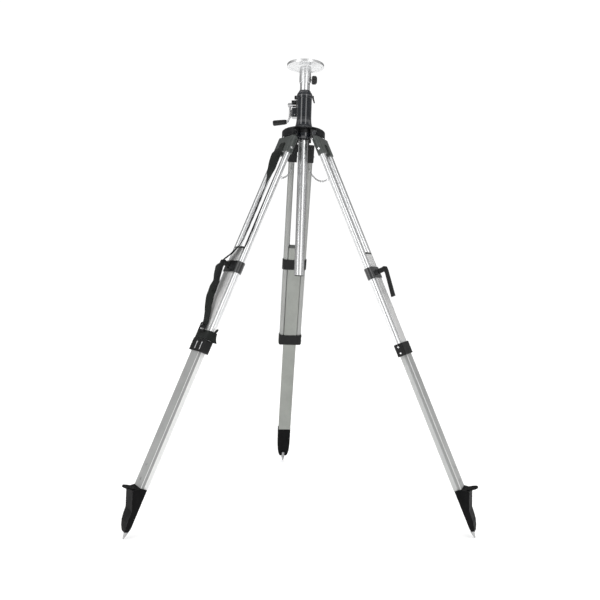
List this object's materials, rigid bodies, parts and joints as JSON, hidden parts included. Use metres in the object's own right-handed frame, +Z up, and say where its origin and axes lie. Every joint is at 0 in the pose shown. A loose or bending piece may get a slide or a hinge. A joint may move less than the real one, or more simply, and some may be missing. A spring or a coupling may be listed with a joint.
{
  "type": "elevating_tripod",
  "caption": "Elevating tripod with a crank-raised rack column, round instrument plate and three double-rail extending legs",
  "frame": {"origin": "on the ground under the column's axis, midway between the three feet", "axes": "+Z up along the column, +Y towards the rear leg, +X to the right as seen from between the two front legs"},
  "size_m": [1.2916, 1.0017, 1.813],
  "materials": {
    "black_casting": "satin black paint with worn edges",
    "gloss_housing": "gloss blue-black enamel",
    "grey_casting": "semi-gloss dark grey paint",
    "polished_tube": "polished and clear anodised",
    "turned_plate": "fine turned face",
    "grey_extrusion": "matte anodised",
    "bright_steel": "plated",
    "plain_steel": "brushed",
    "black_steel": "blackened fasteners",
    "bearing_bronze": "machined",
    "black_plastic": "fine moulded grain",
    "gloss_plastic": "smooth moulded",
    "webbing": "woven webbing"
  },
  "bodies": {
    "head": {"dome_casting": "black_casting", "gear_housing": "gloss_housing", "guide_cap": "gloss_housing", "upper_bush": "black_plastic", "lower_bush": "black_plastic", "hub_nut": "black_casting", "gearbox_cover": "black_casting", "gearbox_screws": "bright_steel", "shaft_bush": "bearing_bronze", "hinge_bolts": "black_steel", "lock_nut": "gloss_plastic", "leg_chains": "bright_steel"},
    "lock_handle": {"lock_lever": "gloss_plastic"},
    "brake": {"brake_knob": "gloss_plastic"},
    "column": {"column_tube": "polished_tube", "column_rack": "plain_steel", "column_plug": "black_plastic"},
    "plate": {"head_plate": "turned_plate", "plate_socket": "turned_plate", "mounting_stud": "plain_steel"},
    "plate_knob": {"socket_knob": "gloss_plastic", "knob_screw": "plain_steel"},
    "crank": {"crank_shaft": "plain_steel", "drive_pinion": "bearing_bronze", "crank_hub": "bright_steel", "crank_arm": "bright_steel"},
    "grip": {"crank_grip": "gloss_plastic"},
    "rear_upper_leg": {"rear_hinge_yoke": "grey_casting", "rear_rails": "polished_tube", "rear_lower_collar": "black_plastic", "rear_leg_fixings": "bright_steel"},
    "rear_lower_leg": {"rear_inner_tube": "grey_extrusion", "rear_inner_cap": "black_plastic", "rear_clamp_collar": "black_plastic", "rear_foot": "black_casting", "rear_foot_hardware": "plain_steel"},
    "rear_lever": {"rear_clamp_lever": "black_plastic"},
    "left_upper_leg": {"left_hinge_yoke": "grey_casting", "left_rails": "polished_tube", "left_lower_collar": "black_plastic", "left_leg_fixings": "bright_steel", "shoulder_strap": "webbing", "strap_band": "webbing", "strap_buckle": "black_plastic"},
    "left_lower_leg": {"left_inner_tube": "grey_extrusion", "left_inner_cap": "black_plastic", "left_clamp_collar": "black_plastic", "left_foot": "black_casting", "left_foot_hardware": "plain_steel"},
    "left_lever": {"left_clamp_lever": "black_plastic"},
    "right_upper_leg": {"right_hinge_yoke": "grey_casting", "right_rails": "polished_tube", "right_lower_collar": "black_plastic", "right_leg_fixings": "bright_steel"},
    "right_lower_leg": {"right_inner_tube": "grey_extrusion", "right_inner_cap": "black_plastic", "right_clamp_collar": "black_plastic", "right_foot": "black_casting", "right_foot_hardware": "plain_steel"},
    "right_lever": {"right_clamp_lever": "black_plastic"}
  },
  "joints": [
    {"name": "column_lift", "type": "slide", "parent": "head", "child": "column", "axis": [0, 0, 1], "range_m": [-0.028, 0.48]},
    {"name": "crank_turn", "type": "hinge", "parent": "head", "child": "crank", "pos_m": [0.00707, 0.03326, 1.6435], "axis": [-0.9781, 0.2079, 0], "continuous": true},
    {"name": "grip_spin", "type": "hinge", "parent": "crank", "child": "grip", "pos_m": [-0.06267, 0.04808, 1.5755], "axis": [-0.9728, 0.2068, -0.1045], "continuous": true},
    {"name": "lock_turn", "type": "hinge", "parent": "head", "child": "lock_handle", "pos_m": [0.00838, 0.03942, 1.676], "axis": [-0.9781, 0.2079, 0], "range_deg": [-60, 60]},
    {"name": "brake_turn", "type": "hinge", "parent": "head", "child": "brake", "pos_m": [-0.03286, 0.02334, 1.6515], "axis": [-0.9781, 0.2079, 0], "range_deg": [-180, 180]},
    {"name": "plate_swivel", "type": "hinge", "parent": "column", "child": "plate", "pos_m": [0, 0, 1.785], "axis": [0, 0, 1], "continuous": true},
    {"name": "knob_turn", "type": "hinge", "parent": "plate", "child": "plate_knob", "pos_m": [0.02391, -0.00209, 1.736], "axis": [0.9962, -0.0872, 0], "continuous": true},
    {"name": "rear_fold", "type": "hinge", "parent": "head", "child": "rear_upper_leg", "pos_m": [0, 0.063, 1.511], "axis": [-1, 0, 0], "range_deg": [0, 18.6], "deforming": ["leg_chains"]},
    {"name": "rear_extend", "type": "slide", "parent": "rear_upper_leg", "child": "rear_lower_leg", "axis": [0, 0.3355, -0.9421], "range_m": [-0.352, 0.3]},
    {"name": "rear_lever_turn", "type": "hinge", "parent": "rear_lower_leg", "child": "rear_lever", "pos_m": [0, 0.26884, 1.00121], "axis": [0, 0.9421, 0.3355], "range_deg": [0, 90]},
    {"name": "left_fold", "type": "hinge", "parent": "head", "child": "left_upper_leg", "pos_m": [-0.05456, -0.0315, 1.511], "axis": [0.5, -0.866, 0], "range_deg": [0, 23], "deforming": ["leg_chains"]},
    {"name": "left_extend", "type": "slide", "parent": "left_upper_leg", "child": "left_lower_leg", "axis": [-0.3522, -0.2034, -0.9135], "range_m": [-0.36, 0.21], "deforming": ["shoulder_strap"]},
    {"name": "left_lever_turn", "type": "hinge", "parent": "left_lower_leg", "child": "left_lever", "pos_m": [-0.28333, -0.16358, 0.97399], "axis": [-0.7912, -0.4568, 0.4067], "range_deg": [0, 90], "deforming": ["shoulder_strap"]},
    {"name": "right_fold", "type": "hinge", "parent": "head", "child": "right_upper_leg", "pos_m": [0.05456, -0.0315, 1.511], "axis": [0.5, 0.866, 0], "range_deg": [0, 23.8], "deforming": ["leg_chains"]},
    {"name": "right_extend", "type": "slide", "parent": "right_upper_leg", "child": "right_lower_leg", "axis": [0.3633, -0.2097, -0.9078], "range_m": [-0.36, 0.25]},
    {"name": "right_lever_turn", "type": "hinge", "parent": "right_lower_leg", "child": "right_lever", "pos_m": [0.29352, -0.16947, 0.96842], "axis": [0.7862, -0.4539, 0.4195], "range_deg": [0, 90]}
  ],
  "couplings": [
    {"joint": "crank_turn", "follows": "column_lift", "rad_per_m": 100}
  ]
}
